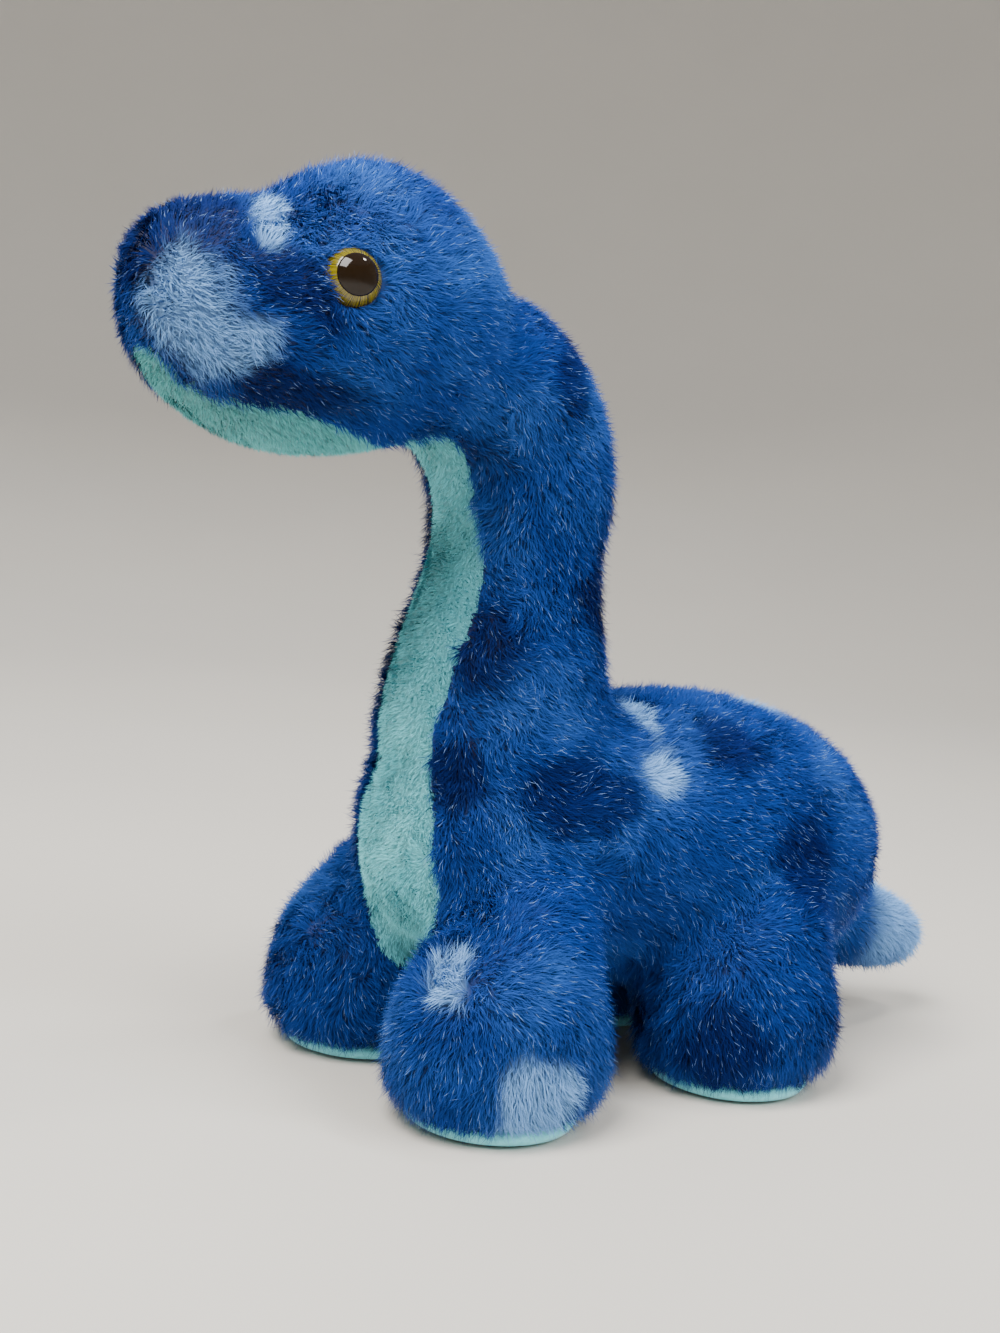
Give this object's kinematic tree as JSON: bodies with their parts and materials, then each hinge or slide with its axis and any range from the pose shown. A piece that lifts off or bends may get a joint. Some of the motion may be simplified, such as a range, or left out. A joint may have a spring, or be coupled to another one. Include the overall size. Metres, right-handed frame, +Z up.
{
  "type": "stuffed dinosaur",
  "caption": "Stuffed long-necked dinosaur of long-pile plush with a pale belly panel, glossy eyes and four soft legs that swing at the hips.",
  "frame": {"origin": "on the floor, under the middle of the outer box", "axes": "+Z up, the nose points to -Y, the animal's left side is +X"},
  "size_m": [0.107, 0.2539, 0.216],
  "materials": {
    "blue_plush": "long pile with a silky sheen",
    "mint_plush": "short dense pile",
    "mint_pad": "short dense pile",
    "stuffing": "loose white fibre",
    "amber_plastic": "polished",
    "black_plastic": "polished",
    "washer_plastic": "plain moulding"
  },
  "bodies": {
    "torso": {"torso_side_left": "blue_plush", "torso_side_right": "blue_plush", "belly_panel": "mint_plush", "torso_fill": "stuffing"},
    "neck": {"neck_side_left": "blue_plush", "neck_side_right": "blue_plush", "throat_panel": "mint_plush", "neck_fill": "stuffing"},
    "head": {"head_side_left": "blue_plush", "head_side_right": "blue_plush", "head_gusset": "blue_plush", "chin_panel": "mint_plush", "head_fill": "stuffing", "eye_left": "amber_plastic", "eye_right": "amber_plastic", "pupil_left": "black_plastic", "pupil_right": "black_plastic", "eye_washer_left": "washer_plastic", "eye_washer_right": "washer_plastic"},
    "tail": {"tail_upper_panel": "blue_plush", "tail_lower_panel": "blue_plush", "tail_fill": "stuffing"},
    "leg_front_left": {"leg_cover_front_left": "blue_plush", "leg_fill_front_left": "stuffing", "foot_pad_front_left": "mint_pad"},
    "leg_front_right": {"leg_cover_front_right": "blue_plush", "leg_fill_front_right": "stuffing", "foot_pad_front_right": "mint_pad"},
    "leg_rear_left": {"leg_cover_rear_left": "blue_plush", "leg_fill_rear_left": "stuffing", "foot_pad_rear_left": "mint_pad"},
    "leg_rear_right": {"leg_cover_rear_right": "blue_plush", "leg_fill_rear_right": "stuffing", "foot_pad_rear_right": "mint_pad"}
  },
  "joints": [
    {"name": "neck_bend", "type": "hinge", "parent": "torso", "child": "neck", "pos_m": [0, -0.025, 0.10201], "axis": [1, 0, 0], "range_deg": [-12, 15], "stiffness_Nm_per_rad": 0.6},
    {"name": "head_nod", "type": "hinge", "parent": "neck", "child": "head", "pos_m": [0, -0.04602, 0.17296], "axis": [1, 0, 0], "range_deg": [-12, 12], "stiffness_Nm_per_rad": 0.5},
    {"name": "tail_wag", "type": "hinge", "parent": "torso", "child": "tail", "pos_m": [0, 0.08799, 0.03605], "axis": [0, 0, 1], "range_deg": [-16, 16], "stiffness_Nm_per_rad": 0.1},
    {"name": "leg_swing_front_left", "type": "hinge", "parent": "torso", "child": "leg_front_left", "pos_m": [0.03, -0.036, 0.034], "axis": [1, 0, 0], "range_deg": [-12, 12], "stiffness_Nm_per_rad": 1.2},
    {"name": "leg_swing_front_right", "type": "hinge", "parent": "torso", "child": "leg_front_right", "pos_m": [-0.03, -0.036, 0.034], "axis": [1, 0, 0], "range_deg": [-12, 12], "stiffness_Nm_per_rad": 1.2},
    {"name": "leg_swing_rear_left", "type": "hinge", "parent": "torso", "child": "leg_rear_left", "pos_m": [0.03, 0.038, 0.034], "axis": [1, 0, 0], "range_deg": [-12, 12], "stiffness_Nm_per_rad": 1.2},
    {"name": "leg_swing_rear_right", "type": "hinge", "parent": "torso", "child": "leg_rear_right", "pos_m": [-0.03, 0.038, 0.034], "axis": [1, 0, 0], "range_deg": [-12, 12], "stiffness_Nm_per_rad": 1.2}
  ]
}
